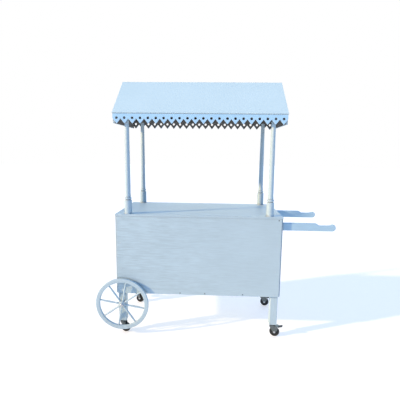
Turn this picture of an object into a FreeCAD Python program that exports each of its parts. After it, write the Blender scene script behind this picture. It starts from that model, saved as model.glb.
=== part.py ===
import FreeCAD, Part
import os
import re

import Sketcher
from FreeCAD import Rotation, Vector

# Candy cart: a painted plywood box on four castered corner legs, a counter board, four turned
# posts under a gable roof with pierced valances, two shaped handles at one end and a pair of
# spoked wheels that hang on the legs at the other end.
# +X runs towards the handles, +Y from the panelled front to the open back, +Z up.

# Driving sizes: millimetres, degrees where a name ends in angle, whole numbers for counts.
SIZES = {
    "cart_length": 1220,
    "panel_thickness": 12,
    "side_panel_depth": 576,
    "panel_bottom_height": 325,
    "front_panel_step": 9,
    "panel_edge_radius": 1.5,
    "counter_height": 930,
    "counter_thickness": 15,
    "counter_overhang": 2,
    "counter_edge_radius": 4,
    "leg_width": 55,
    "leg_edge_radius": 3,
    "rail_width": 40,
    "rail_height": 40,
    "floor_thickness": 15,
    "shelf_thickness": 15,
    "shelf_rise": 260,
    "cleat_width": 20,
    "joint_clearance": 0.1,
    "post_height": 695,
    "post_end_inset": 93,
    "post_row_inset": 18,
    "post_base_radius": 27,
    "post_base_height": 96,
    "post_shoulder_height": 6,
    "post_shoulder_rise": 1.8,
    "post_neck_radius": 18.5,
    "post_neck_height": 3,
    "post_bead_radius": 25,
    "post_bead_height": 17,
    "post_collar_radius": 21,
    "post_cove_height": 45,
    "post_cove_depth": 1.4,
    "post_shaft_radius": 19,
    "post_top_radius": 15,
    "post_dowel_radius": 9,
    "post_dowel_length": 40,
    "post_tenon_radius": 8,
    "post_tenon_length": 18,
    "roof_end_overhang": 1,
    "roof_eave_overhang": 24,
    "roof_rise": 261,
    "roof_thickness": 8,
    "valance_thickness": 12,
    "valance_setback": 4,
    "valance_depth": 66,
    "valance_tooth_count": 22,
    "valance_tooth_depth": 33,
    "valance_tip_width": 3,
    "valance_hole_radius": 9.5,
    "valance_hole_rise": 4,
    "gable_thickness": 12,
    "gable_inset": 3,
    "eave_rail_height": 29,
    "eave_rail_width": 46,
    "ridge_beam_width": 20,
    "ridge_beam_height": 40,
    "handle_inset": 28,
    "handle_thickness": 22,
    "handle_drop": 33,
    "handle_root_height": 57,
    "handle_root_length": 231,
    "handle_step_length": 46,
    "handle_ogee_rise": 2.7,
    "handle_grip_height": 41,
    "handle_grip_length": 50,
    "handle_bulb_height": 50,
    "handle_neck_length": 33,
    "handle_neck_hollow": 1.4,
    "handle_edge_radius": 5,
    "handle_tenon_height": 40,
    "handle_tenon_in_leg": 25,
    "wheel_radius": 198,
    "wheel_rim_width": 30,
    "wheel_rim_thickness": 18,
    "wheel_rim_edge_radius": 4,
    "wheel_standoff": 27,
    "wheel_axle_height": 249,
    "wheel_axle_offset": 7.5,
    "wheel_turn_angle": 10,
    "spoke_count": 8,
    "spoke_tenon_radius": 5,
    "spoke_tenon_length": 10,
    "spoke_root_radius": 8,
    "spoke_root_length": 17,
    "spoke_cove_length": 11.4,
    "spoke_tip_length": 14.2,
    "spoke_waist_radius": 5.5,
    "spoke_swell_radius": 7,
    "spoke_end_radius": 6,
    "hub_radius": 24,
    "hub_width": 22,
    "hub_nose_radius": 19,
    "hub_nose_length": 5,
    "hub_boss_radius": 17,
    "hub_edge_radius": 3,
    "bolt_radius": 6,
    "bolt_head_radius": 13,
    "bolt_head_edge": 2,
    "bolt_dome_height": 7.5,
    "bolt_tail": 4,
    "nut_radius": 11,
    "nut_height": 10,
    "washer_radius": 16,
    "washer_thickness": 1.5,
    "running_clearance": 0.05,
    "face_clearance": 0.3,
    "caster_headroom": 25,
    "caster_trail": 18,
    "caster_trail_angle": -14,
    "caster_plate_width": 52,
    "caster_plate_thickness": 3,
    "caster_plate_corner_radius": 6,
    "caster_screw_spacing": 38,
    "caster_screw_radius": 2.6,
    "caster_race_radius": 18,
    "caster_race_bulge": 3,
    "caster_race_height": 10,
    "caster_pin_radius": 5,
    "caster_rivet_radius": 8,
    "caster_rivet_height": 3,
    "fork_sheet": 3,
    "fork_inside_width": 28,
    "fork_side_gap": 0.5,
    "fork_crown_radius": 20,
    "fork_eye_radius": 11,
    "fork_brow_rise": 22.5,
    "caster_wheel_radius": 37.5,
    "caster_wheel_width": 23,
    "caster_hub_radius": 12,
    "caster_tyre_depth": 9.5,
    "caster_web_width": 15,
    "caster_mould_draft": 2,
    "caster_tread_crown": 5,
    "caster_axle_radius": 4,
    "caster_axle_head_radius": 7,
    "caster_axle_head_height": 3.5,
    "brake_pin_radius": 2.5,
    "brake_pin_head_radius": 4,
    "brake_pin_head_height": 2,
    "brake_pin_out": 24,
    "brake_pin_drop": 1.2,
    "brake_boss_radius": 5,
    "brake_shoe_gap": 0.6,
    "brake_shoe_width": 5,
    "brake_pedal_length": 30,
    "brake_pedal_root": 6,
    "brake_pedal_lift": 9,
    "brake_pedal_thickness": 4,
}

# Places worked out from the driving sizes. X is measured from the middle of the box, Y from the
# middle of the leg rows, Z from the floor.
PLACES = {
    "leg_line": "cart_length / 2 - panel_thickness - leg_width / 2",
    "leg_face": "side_panel_depth / 2",
    "leg_row": "leg_face - leg_width / 2",
    "inside_half_length": "cart_length / 2 - panel_thickness",
    "rail_length": "2 * (leg_line - leg_width / 2)",
    "counter_underside": "counter_height - counter_thickness",
    "floor_height": "panel_bottom_height + rail_height",
    "shelf_height": "floor_height + floor_thickness + shelf_rise",
    "post_line": "cart_length / 2 - post_end_inset",
    "post_row": "leg_face - post_row_inset",
    "roof_length": "cart_length + 2 * roof_end_overhang",
    "roof_run": "leg_face + roof_eave_overhang",
    "roof_slope": "roof_rise / roof_run",
    "roof_slope_length": "sqrt(roof_run ^ 2 + roof_rise ^ 2)",
    "valance_face": "roof_run - valance_setback",
    "valance_back": "valance_face - valance_thickness",
    "eave_rail_bottom": "counter_height + post_height",
    "gable_shoulder_height": "eave_rail_bottom + eave_rail_height",
    "under_ridge_height": "gable_shoulder_height + valance_back * roof_slope",
    "ridge_height": "under_ridge_height + roof_thickness * roof_slope_length / roof_run",
    "eave_height": "ridge_height - roof_rise",
    "valance_top_height": "under_ridge_height - valance_face * roof_slope",
    "valance_tip_height": "valance_top_height - valance_depth",
    "valance_apex_height": "valance_tip_height + valance_tooth_depth",
    "valance_length": "roof_length - 2 * gable_inset",
    "valance_pitch": "valance_length / valance_tooth_count",
    "between_gables": "valance_length - 2 * gable_thickness",
    "handle_row": "leg_face - handle_inset",
    "handle_bottom_height": "counter_underside - handle_drop - handle_root_height",
    "handle_tenon_bottom": "handle_bottom_height + (handle_root_height - handle_tenon_height) / 2",
    "handle_step_foot": "handle_root_length + handle_step_length",
    "handle_bulb_middle": "handle_step_foot + handle_grip_length + handle_neck_length",
    "handle_reach": "handle_bulb_middle + handle_bulb_height / 2",
    "wheel_line": "leg_line - wheel_axle_offset",
    "wheel_row": "leg_face + wheel_standoff + wheel_rim_thickness / 2",
    "box_middle": "(wheel_line + wheel_radius - cart_length / 2 - handle_reach) / 2",
    "rim_inner_radius": "wheel_radius - wheel_rim_width",
    "felloe_angle": "360 / spoke_count - joint_clearance / wheel_radius * 180 / pi",
    "spoke_end": "sqrt(rim_inner_radius ^ 2 - spoke_end_radius ^ 2) - joint_clearance",
    "hub_front": "hub_width / 2 + hub_nose_length",
    "hub_back": "wheel_rim_thickness / 2 + wheel_standoff - washer_thickness - face_clearance",
    "bolt_dome_radius": "(bolt_head_radius ^ 2 + bolt_dome_height ^ 2) / (2 * bolt_dome_height)",
    "caster_height": "2 * caster_wheel_radius + caster_headroom",
    "crown_top": "caster_height - caster_plate_thickness - caster_race_height - face_clearance",
    "crown_underside": "crown_top - fork_sheet",
    "fork_outside_width": "fork_inside_width + 2 * fork_sheet",
    "fork_room": "fork_inside_width - 2 * fork_side_gap",
    "caster_web_radius": "caster_wheel_radius - caster_tyre_depth",
    "brake_pin_along": "caster_trail + brake_pin_out",
    "brake_pin_height": "crown_underside - brake_pin_drop - brake_boss_radius",
    "brake_pin_rise": "brake_pin_height - caster_wheel_radius",
    "brake_shoe_radius": "brake_pin_rise - sqrt((caster_wheel_radius + brake_shoe_gap) ^ 2"
    " - (brake_pin_out - brake_shoe_width / 2) ^ 2)",
}

MATH_WORDS = ("sqrt", "pi")

doc = FreeCAD.newDocument("candy_cart")


def tie(text):
    """A formula in bare size names, as an expression that reads the two sheets."""

    def with_sheet(match):
        word = match[0]
        if word in MATH_WORDS:
            return word
        return ("Sizes." if word in SIZES else "Places.") + word

    return re.sub(r"[a-z][a-z_]+", with_sheet, text)


def make_sheet(name, cells):
    sheet = doc.addObject("Spreadsheet::Sheet", name)
    for row, (alias, content) in enumerate(cells.items(), start=1):
        sheet.set(f"A{row}", alias)
        sheet.set(f"B{row}", content)
        sheet.setAlias(f"B{row}", alias)
    return sheet


sizes = make_sheet("Sizes", {alias: str(number) for alias, number in SIZES.items()})
doc.recompute()
places = make_sheet("Places", {alias: "=" + tie(text) for alias, text in PLACES.items()})
doc.recompute()

parts = {}


def value(text):
    return float(places.evalExpression(tie(text)))


def place(item, x="0", y="0", z="0", turn=None, axis=Vector(0, 0, 1)):
    """Put an item at a point given by formulas, turned about an axis by a formula in degrees."""
    if turn is not None:
        item.Placement.Rotation = Rotation(axis, value(turn))
        item.setExpression("Placement.Rotation.Angle", tie(turn))
    for letter, text in zip("xyz", (x, y, z)):
        item.setExpression(f"Placement.Base.{letter}", tie(text))


def keep(item, label):
    """Record an item as a sub-part under its own label."""
    item.Label = label
    parts[label] = item
    return item


def board(label, size, corner):
    """A plain squared board from its size and its lowest corner."""
    box = doc.addObject("Part::Box", label)
    for side, text in zip(("Length", "Width", "Height"), size):
        box.setExpression(side, tie(text))
    place(box, *corner)
    return keep(box, label)


def new_body(label):
    return keep(doc.addObject("PartDesign::Body", label), label)


def origin_item(body, role):
    return next(item for item in body.Origin.OriginFeatures if item.Role == role)


def new_sketch(body, role, shift=("0", "0", "0")):
    """A sketch on one of the body's own planes, shifted in that plane and along its normal."""
    sketch = body.newObject("Sketcher::SketchObject", f"{body.Name}_sketch")
    sketch.AttachmentSupport = [(origin_item(body, role), "")]
    sketch.MapMode = "FlatFace"
    for axis, text in zip("xyz", shift):
        sketch.setExpression(f"AttachmentOffset.Base.{axis}", tie(text))
    return sketch


def fix_point(sketch, index, position, point):
    """Tie a point of the sketch to its two formulas."""
    for kind, text in zip(("DistanceX", "DistanceY"), point):
        number = sketch.addConstraint(Sketcher.Constraint(kind, -1, 1, index, position, value(text)))
        sketch.setExpression(f"Constraints[{number}]", tie(text))


def vector(point):
    return Vector(value(point[0]), value(point[1]), 0)


def bowed(first, last, rise):
    """An arc step from one point to another that bows by a rise to the right of its way."""
    along = f"(({last[0]}) - ({first[0]}))"
    up = f"(({last[1]}) - ({first[1]}))"
    length = f"sqrt({along} ^ 2 + {up} ^ 2)"
    middle_x = f"({first[0]}) + {along} / 2 + ({rise}) * {up} / {length}"
    middle_y = f"({first[1]}) + {up} / 2 - ({rise}) * {along} / {length}"
    return (middle_x, middle_y, *last)


def draw(sketch, start, *steps):
    """A closed outline. A step of two formulas is a straight edge to that point; a step of four
    is an arc through its first point to its second."""
    if steps[-1][-2:] != start:
        steps += (start,)
    edges = []
    here = start
    for step in steps:
        there = step[-2:]
        first, last = vector(here), vector(there)
        ends = (1, 2)
        if len(step) == 2:
            index = sketch.addGeometry(Part.LineSegment(first, last), False)
        else:
            middle = vector(step[:2])
            if (middle - first).cross(last - middle).z < 0:
                first, last = last, first
                ends = (2, 1)
            index = sketch.addGeometry(Part.Arc(first, middle, last), False)
            through = sketch.addGeometry(Part.Point(middle), True)
            fix_point(sketch, through, 1, step[:2])
            sketch.addConstraint(Sketcher.Constraint("PointOnObject", through, 1, index))
        fix_point(sketch, index, ends[1], there)
        edges.append((index, *ends))
        here = there
    for (index, _, last), (following, first, _) in zip(edges, edges[1:] + edges[:1]):
        sketch.addConstraint(Sketcher.Constraint("Coincident", index, last, following, first))


def draw_circle(sketch, centre, radius):
    middle = vector(centre)
    index = sketch.addGeometry(Part.Circle(middle, Vector(0, 0, 1), value(radius)), False)
    fix_point(sketch, index, 3, centre)
    number = sketch.addConstraint(Sketcher.Constraint("Radius", index, value(radius)))
    sketch.setExpression(f"Constraints[{number}]", tie(radius))


def draw_rectangle(sketch, low, high):
    draw(sketch, low, (high[0], low[1]), high, (low[0], high[1]))


def draw_rounded(sketch, low, high, radius):
    """A rectangle between two corners with all four corners rounded."""
    left, bottom = low
    right, top = high
    nick = f"{radius} * (1 - sqrt(0.5))"
    draw(
        sketch,
        (f"{left} + {radius}", bottom),
        (f"{right} - {radius}", bottom),
        (f"{right} - {nick}", f"{bottom} + {nick}", right, f"{bottom} + {radius}"),
        (right, f"{top} - {radius}"),
        (f"{right} - {nick}", f"{top} - {nick}", f"{right} - {radius}", top),
        (f"{left} + {radius}", top),
        (f"{left} + {nick}", f"{top} - {nick}", left, f"{top} - {radius}"),
        (left, f"{bottom} + {radius}"),
        (f"{left} + {nick}", f"{bottom} + {nick}", f"{left} + {radius}", bottom),
    )


def pad(body, sketch, length, reverse=False):
    feature = body.newObject("PartDesign::Pad", f"{body.Name}_pad")
    feature.Profile = sketch
    feature.setExpression("Length", tie(length))
    feature.Reversed = reverse
    return feature


def pocket(body, sketch, length, reverse=False):
    """Cut a sketch into the body, against the sketch's normal unless reversed."""
    doc.recompute()
    before = body.Shape.Volume
    feature = body.newObject("PartDesign::Pocket", f"{body.Name}_pocket")
    feature.Profile = sketch
    feature.setExpression("Length", tie(length))
    feature.Reversed = reverse
    doc.recompute()
    if body.Shape.Volume >= before:
        raise RuntimeError(f"{body.Label}: a pocket removed nothing")
    return feature


def revolve(body, sketch, axis, sweep=None):
    """Turn a sketch about an axis: right round, or through a sweep shared by both sides of its plane."""
    feature = body.newObject("PartDesign::Revolution", f"{body.Name}_revolution")
    feature.Profile = sketch
    feature.ReferenceAxis = (sketch, [axis])
    feature.Angle = 360
    if sweep is not None:
        feature.Midplane = True
        feature.setExpression("Angle", tie(sweep))
    return feature


def repeat_round(body, feature, role, count):
    """Repeat a feature evenly round one of the body's axes."""
    pattern = body.newObject("PartDesign::PolarPattern", f"{body.Name}_pattern")
    pattern.Originals = [feature]
    pattern.Axis = (origin_item(body, role), [""])
    pattern.Angle = 360
    pattern.setExpression("Occurrences", tie(count))
    body.Tip = pattern
    return pattern


def soften(body, feature, radius, wanted):
    """Round the edges of a feature that the test picks."""
    doc.recompute()
    edges = feature.Shape.Edges
    names = [f"Edge{number}" for number, edge in enumerate(edges, start=1) if wanted(edge)]
    fillet = body.newObject("PartDesign::Fillet", f"{body.Name}_fillet")
    fillet.Base = (feature, names)
    fillet.setExpression("Radius", tie(radius))
    return fillet


def lies_at(edge, axis, level):
    """True where every end and the middle of an edge lie at one level along an axis."""
    tolerance = 0.001
    middle = edge.valueAt((edge.FirstParameter + edge.LastParameter) / 2)
    points = [vertex.Point for vertex in edge.Vertexes] + [middle]
    return all(abs(getattr(point, axis) - level) < tolerance for point in points)


ROWS = (("front", -1), ("back", 1))
ENDS = (("left", -1), ("right", 1))


def corner_leg(end, along, row, across):
    """Square leg and corner post in one: the caster below, the box panels screwed round it above."""
    leg = new_body(f"corner_leg_{row}_{end}")
    section = new_sketch(leg, "XY_Plane")
    half = "leg_width / 2"
    draw_rounded(section, (f"-{half}", f"-{half}"), (half, half), "leg_edge_radius")
    pad(leg, section, "counter_underside - caster_height")
    if end == "right":
        mortise = new_sketch(leg, "YZ_Plane", ("0", "0", half))
        middle = f"{across} * (handle_row - leg_row)"
        side = "handle_thickness / 2 + joint_clearance"
        low = "handle_tenon_bottom - caster_height"
        draw_rectangle(
            mortise,
            (f"{middle} - ({side})", f"{low} - joint_clearance"),
            (f"{middle} + ({side})", f"{low} + handle_tenon_height + joint_clearance"),
        )
        pocket(leg, mortise, "handle_tenon_in_leg + joint_clearance")
    else:
        bolt_hole = new_sketch(leg, "XZ_Plane", ("0", "0", half))
        draw_circle(
            bolt_hole,
            ("leg_line - wheel_line", "wheel_axle_height - caster_height"),
            "bolt_radius + joint_clearance",
        )
        pocket(leg, bolt_hole, "leg_width")
    place(leg, f"box_middle + {along} * leg_line", f"{across} * leg_row", "caster_height")


def front_panel():
    """Plain ply panel screwed to the legs and rails, a little shorter than the box at each end."""
    panel = new_body("front_panel")
    outline = new_sketch(panel, "XZ_Plane")
    half = "cart_length / 2 - front_panel_step"
    draw_rectangle(outline, (f"-({half})", "panel_bottom_height"), (half, "counter_underside"))
    face = pad(panel, outline, "panel_thickness")
    soften(panel, face, "panel_edge_radius", lambda edge: lies_at(edge, "y", -value("panel_thickness")))
    place(panel, "box_middle", "-leg_face", "0")


def side_panel(end, along):
    """Ply end of the box; the one at the handle end is slotted for the handle tenons."""
    panel = new_body(f"side_panel_{end}")
    outline = new_sketch(panel, "YZ_Plane")
    draw_rectangle(outline, ("-leg_face", "panel_bottom_height"), ("leg_face", "counter_underside"))
    if end == "right":
        side = "handle_thickness / 2 + joint_clearance"
        top = "handle_tenon_bottom + handle_tenon_height + joint_clearance"
        for _, across in ROWS:
            middle = f"{across} * handle_row"
            draw_rectangle(
                outline,
                (f"{middle} - ({side})", "handle_tenon_bottom - joint_clearance"),
                (f"{middle} + ({side})", top),
            )
    pad(panel, outline, "panel_thickness")
    inner = "inside_half_length" if along > 0 else "-cart_length / 2"
    place(panel, f"box_middle + {inner}")


def counter_top():
    """Counter board laid over the box, with a hole for the dowel of each post."""
    top = new_body("counter_top")
    outline = new_sketch(top, "XY_Plane")
    front = "-(leg_face + panel_thickness + counter_overhang)"
    draw_rounded(
        outline,
        ("-cart_length / 2", front),
        ("cart_length / 2", "leg_face + counter_overhang"),
        "counter_edge_radius",
    )
    for _, along in ENDS:
        for _, across in ROWS:
            centre = (f"{along} * post_line", f"{across} * post_row")
            draw_circle(outline, centre, "post_dowel_radius + joint_clearance")
    slab = pad(top, outline, "counter_thickness")
    upper = value("counter_thickness")
    soften(top, slab, "counter_edge_radius", lambda edge: lies_at(edge, "z", upper) and not edge.isClosed())
    place(top, "box_middle", "0", "counter_underside")


def long_rail(label, length, width, height):
    """Squared rail, centred in length and width."""
    rail = new_body(label)
    section = new_sketch(rail, "XY_Plane")
    draw_rectangle(section, (f"-{length} / 2", f"-{width} / 2"), (f"{length} / 2", f"{width} / 2"))
    pad(rail, section, height)
    return rail


def draw_post_holes(sketch, line, radius):
    """Two holes for the posts along one line of a rail."""
    for _, along in ENDS:
        draw_circle(sketch, (f"{along} * post_line", line), f"{radius} + joint_clearance")


def box_rails():
    """Rails between the legs: one pair under the counter, one pair under the floor board."""
    for row, across in ROWS:
        centre = f"{across} * (leg_face - rail_width / 2)"
        upper = long_rail(f"counter_rail_{row}", "rail_length", "rail_width", "rail_height")
        lower = long_rail(f"floor_rail_{row}", "rail_length", "rail_width", "rail_height")
        holes = new_sketch(upper, "XY_Plane", ("0", "0", "rail_height"))
        draw_post_holes(holes, f"{across} * post_row - {centre}", "post_dowel_radius")
        pocket(upper, holes, "post_dowel_length - counter_thickness + joint_clearance")
        place(upper, "box_middle", centre, "counter_underside - rail_height")
        place(lower, "box_middle", centre, "panel_bottom_height")


def notched_board(label, thickness, height):
    """Board that fills the inside of the box and is notched round the four legs."""
    panel = new_body(label)
    outline = new_sketch(panel, "XY_Plane")
    out_x, in_x = "inside_half_length", "(inside_half_length - leg_width)"
    out_y, in_y = "leg_face", "(leg_face - leg_width)"
    draw(
        outline,
        (f"-{in_x}", f"-{out_y}"),
        (in_x, f"-{out_y}"),
        (in_x, f"-{in_y}"),
        (out_x, f"-{in_y}"),
        (out_x, in_y),
        (in_x, in_y),
        (in_x, out_y),
        (f"-{in_x}", out_y),
        (f"-{in_x}", in_y),
        (f"-{out_x}", in_y),
        (f"-{out_x}", f"-{in_y}"),
        (f"-{in_x}", f"-{in_y}"),
    )
    pad(panel, outline, thickness)
    place(panel, "box_middle", "0", height)


def shelf_cleats():
    """Battens on the box ends, between the legs, that carry the shelf."""
    for end, along in ENDS:
        inner = "inside_half_length - cleat_width" if along > 0 else "-inside_half_length"
        bottom = "shelf_height - shelf_thickness - cleat_width"
        board(
            f"shelf_cleat_{end}",
            ("cleat_width", "2 * (leg_face - leg_width)", "cleat_width"),
            (f"box_middle + {inner}", "-(leg_face - leg_width)", bottom),
        )


def turned_post(end, along, row, across):
    """Lathe-turned post: plain drum base, a bead between two necks, a cove and a long taper."""
    post = new_body(f"post_{row}_{end}")
    profile = new_sketch(post, "XZ_Plane")
    base_edge = ("post_base_radius", "post_base_height")
    shoulder = ("post_neck_radius", "post_base_height + post_shoulder_height")
    bead = f"{shoulder[1]} + post_neck_height"
    bead_end = f"{bead} + post_bead_height"
    collar = f"{bead_end} + post_neck_height"
    collar_edge = ("post_collar_radius", f"{collar} + post_neck_height")
    cove_end = ("post_shaft_radius", f"{collar} + post_cove_height")
    draw(
        profile,
        ("0", "-post_dowel_length"),
        ("post_dowel_radius", "-post_dowel_length"),
        ("post_dowel_radius", "0"),
        ("post_base_radius", "0"),
        base_edge,
        bowed(base_edge, shoulder, "post_shoulder_rise"),
        ("post_neck_radius", bead),
        ("post_bead_radius", f"{bead} + post_bead_height / 2", "post_neck_radius", bead_end),
        ("post_neck_radius", collar),
        collar_edge,
        bowed(collar_edge, cove_end, "-post_cove_depth"),
        ("post_top_radius", "post_height"),
        ("post_tenon_radius", "post_height"),
        ("post_tenon_radius", "post_height + post_tenon_length"),
        ("0", "post_height + post_tenon_length"),
    )
    revolve(post, profile, "V_Axis")
    place(post, f"box_middle + {along} * post_line", f"{across} * post_row", "counter_height")


def roof_slope(row, across):
    """Sheet of one slope: square cut at the eave, mitred at the ridge."""
    sheet = new_body(f"roof_slope_{row}")
    section = new_sketch(sheet, "YZ_Plane")
    draw(
        section,
        (f"{across} * roof_run", "eave_height"),
        ("0", "ridge_height"),
        ("0", "under_ridge_height"),
        (
            f"{across} * (roof_run - roof_thickness * roof_rise / roof_slope_length)",
            "eave_height - roof_thickness * roof_run / roof_slope_length",
        ),
    )
    pad(sheet, section, "roof_length")
    place(sheet, "box_middle - roof_length / 2")


def gable_end(end, along):
    """Closed end of the roof, straight along the bottom at the level of the valance points."""
    gable = new_body(f"gable_end_{end}")
    outline = new_sketch(gable, "YZ_Plane")
    draw(
        outline,
        ("-valance_back", "valance_tip_height"),
        ("valance_back", "valance_tip_height"),
        ("valance_back", "gable_shoulder_height"),
        ("0", "under_ridge_height"),
        ("-valance_back", "gable_shoulder_height"),
    )
    pad(gable, outline, "gable_thickness")
    inner = "between_gables / 2" if along > 0 else "-valance_length / 2"
    place(gable, f"box_middle + {inner}")


def valance(row, across):
    """Sawn valance: one row of pointed teeth under a band, each tooth pierced by a round hole."""
    strip = new_body(f"valance_{row}")
    inward = across < 0
    band = new_sketch(strip, "XZ_Plane")
    draw_rectangle(band, ("0", "valance_apex_height"), ("valance_length", "valance_top_height"))
    pad(strip, band, "valance_thickness", reverse=inward)
    point = new_sketch(strip, "XZ_Plane")
    draw(
        point,
        ("0", "valance_apex_height"),
        ("valance_pitch / 2 - valance_tip_width / 2", "valance_tip_height"),
        ("valance_pitch / 2 + valance_tip_width / 2", "valance_tip_height"),
        ("valance_pitch", "valance_apex_height"),
    )
    tooth = pad(strip, point, "valance_thickness", reverse=inward)
    piercing = new_sketch(strip, "XZ_Plane")
    centre = ("valance_pitch / 2", "valance_apex_height + valance_hole_rise")
    draw_circle(piercing, centre, "valance_hole_radius")
    hole = pocket(strip, piercing, "valance_thickness", reverse=not inward)
    row_of_teeth = strip.newObject("PartDesign::LinearPattern", f"{strip.Name}_teeth")
    row_of_teeth.Originals = [tooth, hole]
    row_of_teeth.Direction = (origin_item(strip, "X_Axis"), [""])
    row_of_teeth.setExpression("Length", tie("valance_length - valance_pitch"))
    row_of_teeth.setExpression("Occurrences", tie("valance_tooth_count"))
    strip.Tip = row_of_teeth
    place(strip, "box_middle - valance_length / 2", f"{across} * valance_face")


def roof_frame():
    """Rails that take the post tops under the eaves, and the beam under the ridge."""
    for row, across in ROWS:
        rail = long_rail(f"eave_rail_{row}", "between_gables", "eave_rail_width", "eave_rail_height")
        centre = f"{across} * (valance_back - eave_rail_width / 2)"
        holes = new_sketch(rail, "XY_Plane")
        draw_post_holes(holes, f"{across} * post_row - {centre}", "post_tenon_radius")
        pocket(rail, holes, "post_tenon_length + joint_clearance", reverse=True)
        place(rail, "box_middle", centre, "eave_rail_bottom")
    board(
        "ridge_beam",
        ("between_gables", "ridge_beam_width", "ridge_beam_height"),
        (
            "box_middle - between_gables / 2",
            "-ridge_beam_width / 2",
            "under_ridge_height - ridge_beam_width / 2 * roof_slope - ridge_beam_height",
        ),
    )


def push_handle(row, across):
    """Sawn handle, tenoned into the leg: deep root, ogee step down to the grip, swollen round end."""
    handle = new_body(f"handle_{row}")
    outline = new_sketch(handle, "XZ_Plane", ("0", "0", "-handle_thickness / 2"))
    bulb_top = ("handle_bulb_middle", "handle_bulb_height")
    grip_end = ("handle_step_foot + handle_grip_length", "handle_grip_height")
    step_foot = ("handle_step_foot", "handle_grip_height")
    step_middle = (
        "handle_root_length + handle_step_length / 2",
        "(handle_root_height + handle_grip_height) / 2",
    )
    step_head = ("handle_root_length", "handle_root_height")
    draw(
        outline,
        ("0", "0"),
        ("handle_bulb_middle", "0"),
        ("handle_reach", "handle_bulb_height / 2", *bulb_top),
        bowed(bulb_top, grip_end, "-handle_neck_hollow"),
        step_foot,
        bowed(step_foot, step_middle, "-handle_ogee_rise"),
        bowed(step_middle, step_head, "handle_ogee_rise"),
        ("0", "handle_root_height"),
    )
    blank = pad(handle, outline, "handle_thickness")
    half = value("handle_thickness / 2")
    soften(
        handle,
        blank,
        "handle_edge_radius",
        lambda edge: (lies_at(edge, "y", half) or lies_at(edge, "y", -half)) and not lies_at(edge, "x", 0),
    )
    tenon = new_sketch(handle, "YZ_Plane")
    draw_rectangle(
        tenon,
        ("-handle_thickness / 2", "(handle_root_height - handle_tenon_height) / 2"),
        ("handle_thickness / 2", "(handle_root_height + handle_tenon_height) / 2"),
    )
    pad(handle, tenon, "panel_thickness + handle_tenon_in_leg", reverse=True)
    place(handle, "box_middle + cart_length / 2", f"{across} * handle_row", "handle_bottom_height")


def set_wheel_piece(piece, across):
    """Hang a piece of a spoked wheel on its axle, as far round as the wheel has come to rest."""
    centre = ("box_middle - wheel_line", f"{across} * wheel_row", "wheel_axle_height")
    place(piece, *centre, turn="wheel_turn_angle", axis=Vector(0, 1, 0))


def spoke_sockets(body, start, length):
    """Round sockets for the spoke tenons, bored outwards from a given radius."""
    socket = new_sketch(body, "XY_Plane", ("0", "0", start))
    draw_circle(socket, ("0", "0"), "spoke_tenon_radius + joint_clearance")
    bored = pocket(body, socket, length, reverse=True)
    repeat_round(body, bored, "Y_Axis", "spoke_count")


def wheel_rim(row, across):
    """A ring of felloes set end to end, each bored for the tenon of its own spoke."""
    rim = new_body(f"wheel_rim_{row}")
    section = new_sketch(rim, "YZ_Plane")
    half = "wheel_rim_thickness / 2"
    draw_rounded(section, (f"-{half}", "rim_inner_radius"), (half, "wheel_radius"), "wheel_rim_edge_radius")
    felloe = revolve(rim, section, "H_Axis", "felloe_angle")
    repeat_round(rim, felloe, "Y_Axis", "spoke_count")
    lead = "spoke_tenon_radius"
    spoke_sockets(rim, f"rim_inner_radius - {lead}", f"spoke_tenon_length + {lead} + joint_clearance")
    set_wheel_piece(rim, across)


def wheel_spokes(row, across):
    """Turned spokes: a stout root, a waist, a swell in the middle, a slim end, a tenon at each end."""
    spokes = new_body(f"wheel_spokes_{row}")
    profile = new_sketch(spokes, "XZ_Plane")
    foot = "hub_radius - spoke_tenon_length + joint_clearance"
    root = "hub_radius + joint_clearance"
    cove = f"{root} + spoke_root_length"
    waist = f"{cove} + spoke_cove_length"
    tip = "rim_inner_radius - spoke_tip_length"
    head = "rim_inner_radius + spoke_tenon_length - joint_clearance"
    draw(
        profile,
        ("0", foot),
        ("spoke_tenon_radius", foot),
        ("spoke_tenon_radius", root),
        ("spoke_root_radius", root),
        ("spoke_root_radius", cove),
        ("spoke_waist_radius", waist),
        ("spoke_swell_radius", f"({waist} + {tip}) / 2", "spoke_waist_radius", tip),
        ("spoke_end_radius", "spoke_end"),
        ("spoke_tenon_radius", "spoke_end"),
        ("spoke_tenon_radius", head),
        ("0", head),
    )
    spoke = revolve(spokes, profile, "V_Axis")
    repeat_round(spokes, spoke, "Y_Axis", "spoke_count")
    set_wheel_piece(spokes, across)


def wheel_hub(row, across):
    """Turned hub: a nose in front, a drum that takes the spokes, a boss that reaches back to the leg."""
    hub = new_body(f"wheel_hub_{row}")
    section = new_sketch(hub, "YZ_Plane")
    half = "hub_width / 2"
    nick = "hub_edge_radius * (1 - sqrt(0.5))"
    bore = "bolt_radius + running_clearance"
    draw(
        section,
        (f"{across} * hub_front", bore),
        (f"{across} * hub_front", "hub_nose_radius - hub_edge_radius"),
        (
            f"{across} * (hub_front - {nick})",
            f"hub_nose_radius - {nick}",
            f"{across} * (hub_front - hub_edge_radius)",
            "hub_nose_radius",
        ),
        (f"{across} * {half}", "hub_nose_radius"),
        (f"{across} * ({half} - hub_edge_radius)", "hub_radius"),
        (f"{-across} * ({half} - hub_edge_radius)", "hub_radius"),
        (f"{-across} * {half}", "hub_boss_radius"),
        (f"{-across} * hub_back", "hub_boss_radius"),
        (f"{-across} * hub_back", bore),
    )
    revolve(hub, section, "H_Axis")
    spoke_sockets(hub, "hub_radius - spoke_tenon_length", "2 * spoke_tenon_length")
    set_wheel_piece(hub, across)


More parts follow.
